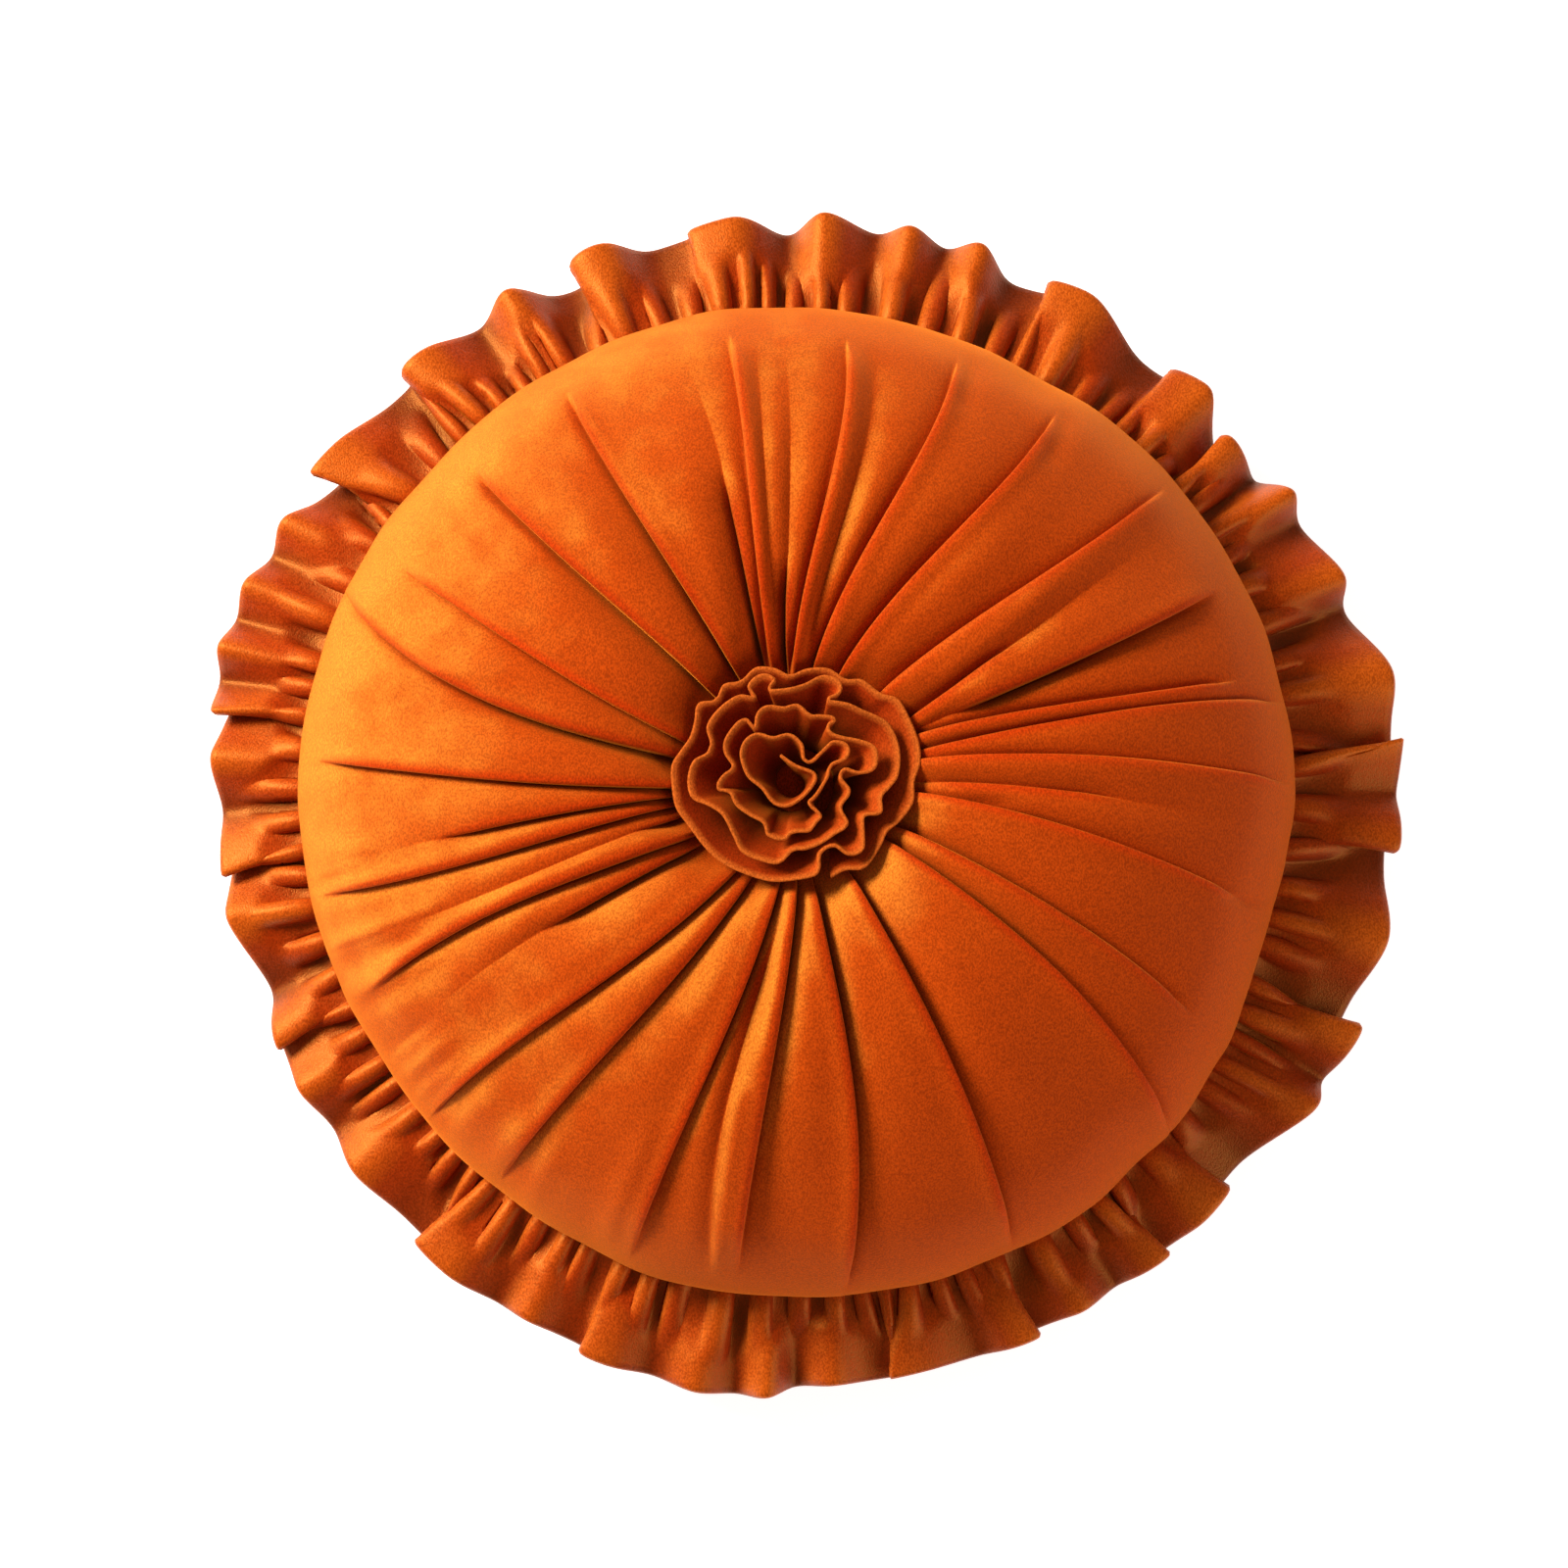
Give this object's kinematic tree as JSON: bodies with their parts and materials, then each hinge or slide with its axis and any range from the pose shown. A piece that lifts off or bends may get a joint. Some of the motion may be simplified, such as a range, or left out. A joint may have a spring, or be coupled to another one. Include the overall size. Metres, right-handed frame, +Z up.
{
  "type": "cushion",
  "caption": "Round pleated velvet cushion with its face drawn into a central dimple, a frilled rosette there and a gathered ruffle sewn into the edge seam.",
  "frame": {"origin": "centre of the flat underside that the cushion rests on", "axes": "+Z up out of the pleated face, +Y towards the top of the face as pictured, +X to its right"},
  "size_m": [0.461, 0.461, 0.1282],
  "materials": {
    "puff_velvet": "velvet pile",
    "ruffle_velvet": "velvet pile, lying flat and a little glossy",
    "rosette_velvet": "velvet pile"
  },
  "bodies": {
    "root": {"cushion": "puff_velvet", "ruffle": "ruffle_velvet", "rosette": "rosette_velvet"}
  },
  "joints": []
}
